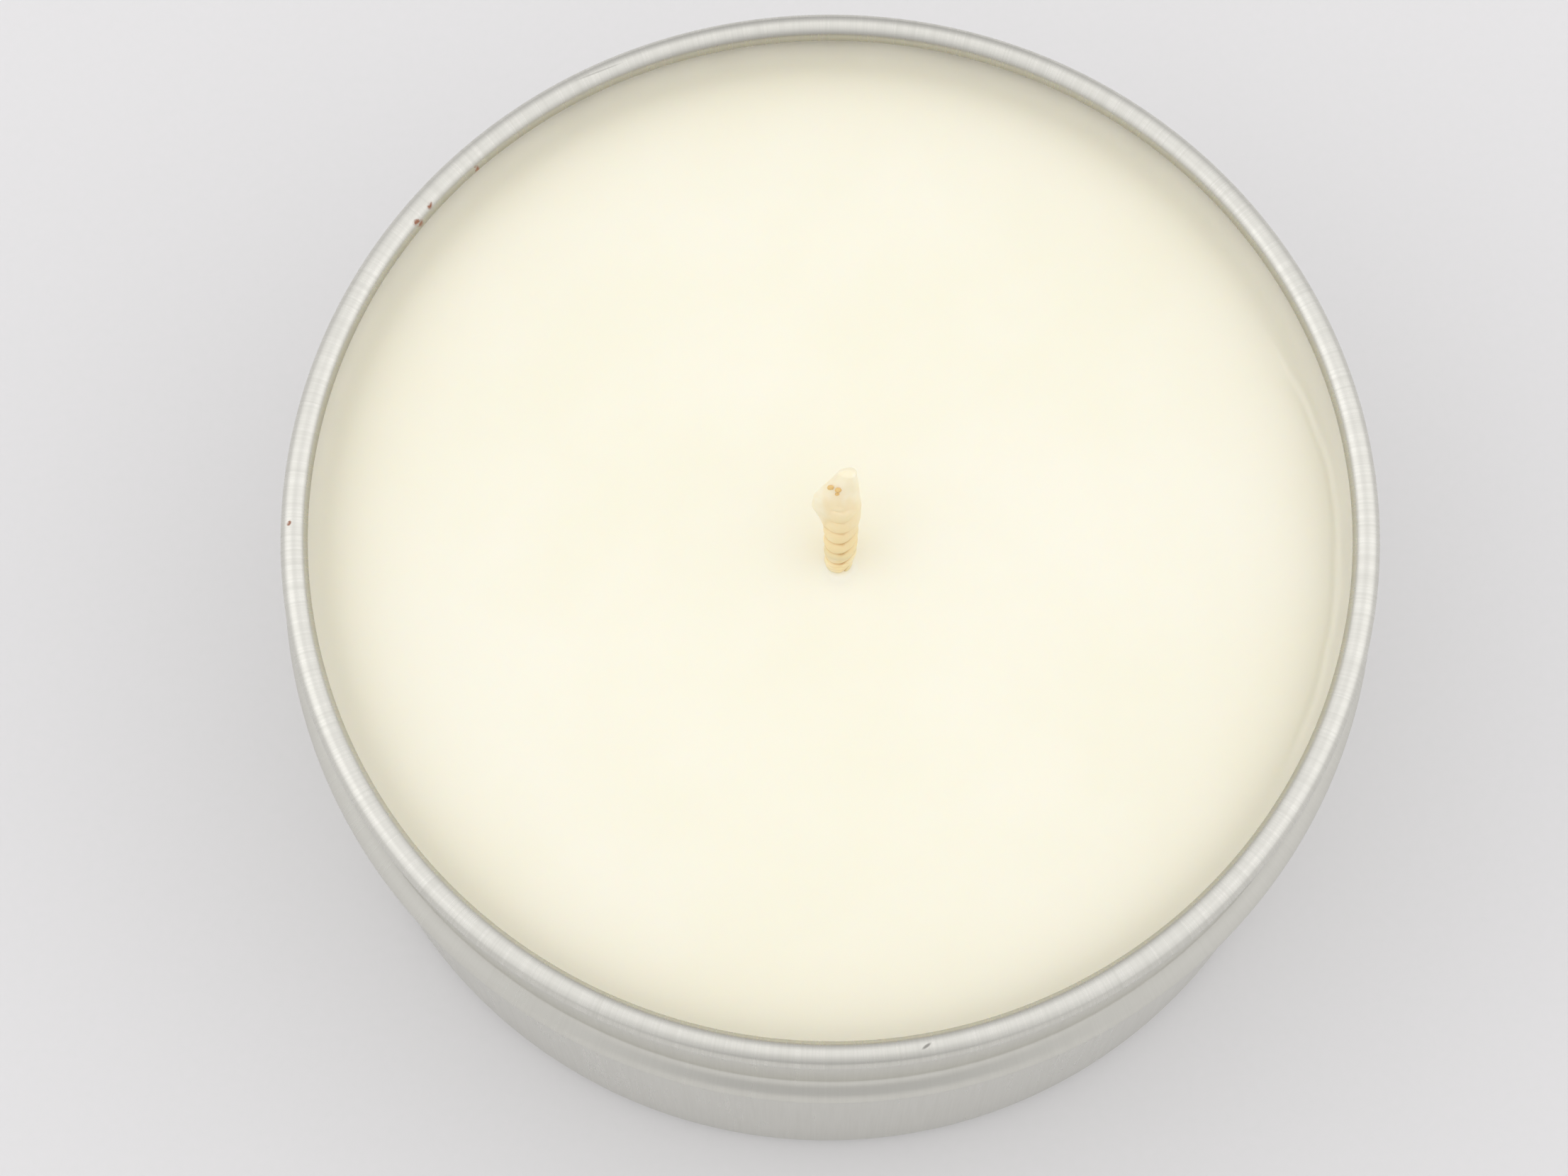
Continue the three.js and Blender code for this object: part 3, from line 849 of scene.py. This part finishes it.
def make_plait(line, finish):
    """Cotton plaited round a paper core: plump ribs in rows, level on the left and climbing on the
    right, with a groove between each two."""
    end = line.exit + PLAIT_ABOVE
    distances = []
    distance = 0.0
    while distance < end:
        distances.append(distance)
        distance += PLAIT_STEP if distance > line.exit - 1 else BURIED_STEP
    stations = []
    for distance in distances:
        point, _, right, back = line.at(distance)
        stations.append((point, right, back))
    count = len(stations)

    def skin(index, angle):
        to_end = min((count - 1 - index) / END_RINGS, 1)
        rounded = math.sqrt(max(1 - (1 - to_end) ** 2, 0.01))
        above = distances[index] - line.exit
        tapered = 1 - END_TAPER * smooth(above, *END_TAPER_SPAN)
        most = PINCH + PINCH_RIGHT * max(math.cos(angle), 0)
        pinched = 1 - most * (1 - smooth(above, *PINCH_SPAN))
        return rounded * tapered * pinched * plait_skin(angle, distances[index])

    def height(index, angle):
        return rib_height(angle, distances[index])

    bm = tube(stations, 96, skin, "yarn_mm", height)
    piece_from(bm, "plaited_wick", finish, "wick_braid")


# the wax on the wick: distance up from the fill, reach to the left, reach to the right, half of the depth
COAT_SECTIONS = [
    (1.6, 0.8, 0.8, 0.8),
    (2.4, 0.98, 0.98, 0.9),
    (3.4, 1.16, 1.1, 0.95),
    (4.4, 1.3, 1.22, 1.05),
    (5.3, 1.62, 1.36, 1.1),
    (6.4, 2.16, 1.38, 1.1),
    (7.3, 2.04, 1.26, 1.04),
    (8.25, 1.42, 1.14, 0.86),
    (9.1, 0.8, 1.02, 0.7),
    (9.8, 0.44, 0.92, 0.5),
    (9.93, 0.25, 0.84, 0.34),
    (10.0, -0.05, 0.7, 0.08),
]
COAT_RINGS = 150
COAT_MOVES_OVER = (6.5, 8.6)  # between these heights its middle moves over to the point at the top
COAT_DEEPER_RIGHT = 0.22  # share by which it is deeper on the right than in the middle
FILM = 0.06  # the thinnest wax on a rib
FILM_FULL = 3.2  # the film has its whole thickness from here up
FILLED_MOST = 0.5  # share of a groove that the wax fills higher up
FILLED_SPAN = (2.2, 7)  # it grows to that between these heights
RIBS_SINK = (6.6, 9.2)  # between these heights the ribs sink away under the wax
THICK_HIDES = 0.36  # wax this much thicker than a rib hides the yarn
HIDDEN_MOST = 0.9  # a little of the yarn's colour still comes through
TOP_PALER = (2.6, 8.8)  # between these heights the yarn shows less and less, down to half
UNDERCUT = 0.75  # the coat's lowest ring is tucked in to this share


def make_coat(line, finish):
    """Wax that ran down and set on the upper half of the wick: a thin film over the ribs, a fin to the
    left, a swelling to the right, and a drawn-out point at the top."""
    first, last = COAT_SECTIONS[0][0], COAT_SECTIONS[-1][0]
    stations = []
    shapes = []
    for i in range(COAT_RINGS + 1):
        distance = first + (last - first) * i / COAT_RINGS
        reach_left, reach_right, depth = (between_rows(COAT_SECTIONS, distance, k) for k in (1, 2, 3))
        point, ahead, right, back = line.at(line.exit + distance)
        beyond = max(line.exit + distance - line.length, 0)
        lean = (reach_right - reach_left) / 2
        shift = lean * smooth(distance, *COAT_MOVES_OVER)
        stations.append((point + ahead * beyond + right * shift, right, back))
        shapes.append((distance, (reach_right + reach_left) / 2, depth, lean - shift))

    def filled(distance):
        """How much of the grooves the wax has filled; more of it stayed on higher up."""
        return FILLED_MOST * smooth(distance, *FILLED_SPAN)

    def rib_left(index, angle):
        """How much of a rib still stands out of the wax in the grooves beside it."""
        rib = rib_height(angle, line.exit + shapes[index][0])
        return rib + (1 - rib) * filled(shapes[index][0])

    def reaches(index, angle):
        """How far the run wax reaches, and how far the ribs under it do."""
        distance, wide, deep, aside = shapes[index]
        deep *= 1 + COAT_DEEPER_RIGHT * math.cos(angle)
        flat, steep = math.cos(angle) / wide, math.sin(angle) / deep
        size = flat * flat + steep * steep
        inside = (flat * aside / wide) ** 2 - size * ((aside / wide) ** 2 - 1)
        run = (flat * aside / wide + math.sqrt(max(inside, 0))) / size
        ribs = plait_skin(angle, line.exit + distance)
        ribs += (RIB_TOP - ribs) * filled(distance)
        ribs *= 1 - smooth(distance, *RIBS_SINK)
        return run, ribs

    def skin(index, angle):
        run, ribs = reaches(index, angle)
        film = FILM * smooth(shapes[index][0], first, FILM_FULL)
        tucked = UNDERCUT if index == 0 else 1
        return tucked * max(run, ribs + film)

    def yarn_shows(index, angle):
        """One where the yarn lies right under the skin, falling to almost none under thick wax."""
        run, ribs = reaches(index, angle)
        # the thickness varies by up to 0.12 mm from patch to patch
        patchy = 0.12 * noise.noise(Vector((2 * math.cos(angle), 2 * math.sin(angle), index / 16)))
        over_ribs = max(run - RIB_TOP, 0)
        over_grooves = 0.3 * max(RIB_TOP - ribs - RIB_DEPTH, 0)
        hidden = HIDDEN_MOST * smooth(over_ribs + over_grooves + patchy, 0.0, THICK_HIDES)
        return (1 - hidden) * (1 - 0.5 * smooth(shapes[index][0], *TOP_PALER))

    bm = tube(stations, 96, skin, None, rib_left, yarn_shows)
    piece_from(bm, "set_wax_on_wick", finish, "wick_wax_coat")


# the cut yarn ends: distance up from the wax, reach to the right and to the front, radius
YARN_ENDS = [(8.75, -0.9, 0.46, 0.2), (8.75, -0.36, 0.7, 0.2), (8.4, -0.42, 0.76, 0.13)]


def make_yarn_ends(line, finish):
    """Cut yarn ends that stand out of the wax by the fin: two side by side, and a small one below."""
    bm = bmesh.new()
    for distance, out, front, size in YARN_ENDS:
        point, ahead, right, back = line.at(line.exit + distance)
        middle = point + right * out - back * front
        made = bmesh.ops.create_icosphere(bm, subdivisions=3, radius=1)
        for vert in made["verts"]:
            lump = 1 + 0.3 * noise.noise(vert.co * 2.3 + middle)
            co = vert.co * size * lump
            vert.co = (middle + right * co.x * 1.15 + back * co.y * 0.7 + ahead * co.z) * MM
    piece_from(bm, "cut_yarn_ends", finish, "wick_braid")


def make_sustainer(finish):
    """A pressed tab with a neck crimped on to the wick at four places."""
    bore = WICK_RADIUS + COLLAR_GAP
    radius = (SUSTAINER_HIGH.x - SUSTAINER_LOW.x) / 2
    low, high = SUSTAINER_LOW.z, SUSTAINER_HIGH.z
    top = low + SHEET
    edge = 0.1
    crimp_height, crimp_spread, crimp_depth = 3.4, 0.8, 0.22
    outline = [(bore, low), (radius - edge, low), (radius, low + edge), (radius, top - edge),
               (radius - edge, top)]
    outline += straight(outline[-1], (bore + SHEET + COLLAR_FILLET, top), 8)
    fillet_middle = (bore + SHEET + COLLAR_FILLET, top + COLLAR_FILLET)
    outline += arc(fillet_middle, COLLAR_FILLET, 270, 180, 6)[1:]
    outline += straight(outline[-1], (bore + SHEET, high), 16)
    outline += [(bore, high)]
    outline += straight(outline[-1], (bore, low), 20)[:-1]

    def crimp(x, y, z):
        dx, dy = x - WICK_X, y - WICK_Y
        distance = math.hypot(dx, dy)
        if distance > bore + SHEET + 0.2:
            return (x, y, z)
        squeeze = max(math.cos(4 * math.atan2(dy, dx)), 0) ** 3
        level = math.exp(-(((z - (top + crimp_height)) / crimp_spread) ** 2))
        grown = 1 - crimp_depth * squeeze * level / distance
        return (WICK_X + dx * grown, WICK_Y + dy * grown, z)

    bm = turned(outline, 96, crimp, middle=(WICK_X, WICK_Y), closed=True)
    piece_from(bm, "wick_tab", finish, "wick_sustainer")


def carry_over(name, finish):
    """A CAD node whose shape is right keeps its mesh and gets its real finish."""
    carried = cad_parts[name]
    carried.data.materials.clear()
    carried.data.materials.append(finish)


def make_floor(finish):
    """A plain pale floor, far wider than the tin. Its half width is in metres."""
    bm = bmesh.new()
    half = 3
    bm.faces.new([bm.verts.new((x * half, y * half, 0)) for x, y in ((-1, -1), (1, -1), (1, 1), (-1, 1))])
    floor = mesh_object(bm, "floor")
    floor.data.materials.append(finish)


bpy.context.scene.view_settings.view_transform = "Standard"
put_camera()
light_the_table()
make_floor(white_card())
make_tin(drawn_aluminium())
make_wax(soy_wax())
wick_line = WickLine()
make_plait(wick_line, cotton_yarn())
make_yarn_ends(wick_line, cut_cotton())
make_coat(wick_line, wick_wax())
make_sustainer(tinplate())
carry_over("wick_core", twisted_paper())
carry_over("wick_sticker", adhesive_foam())
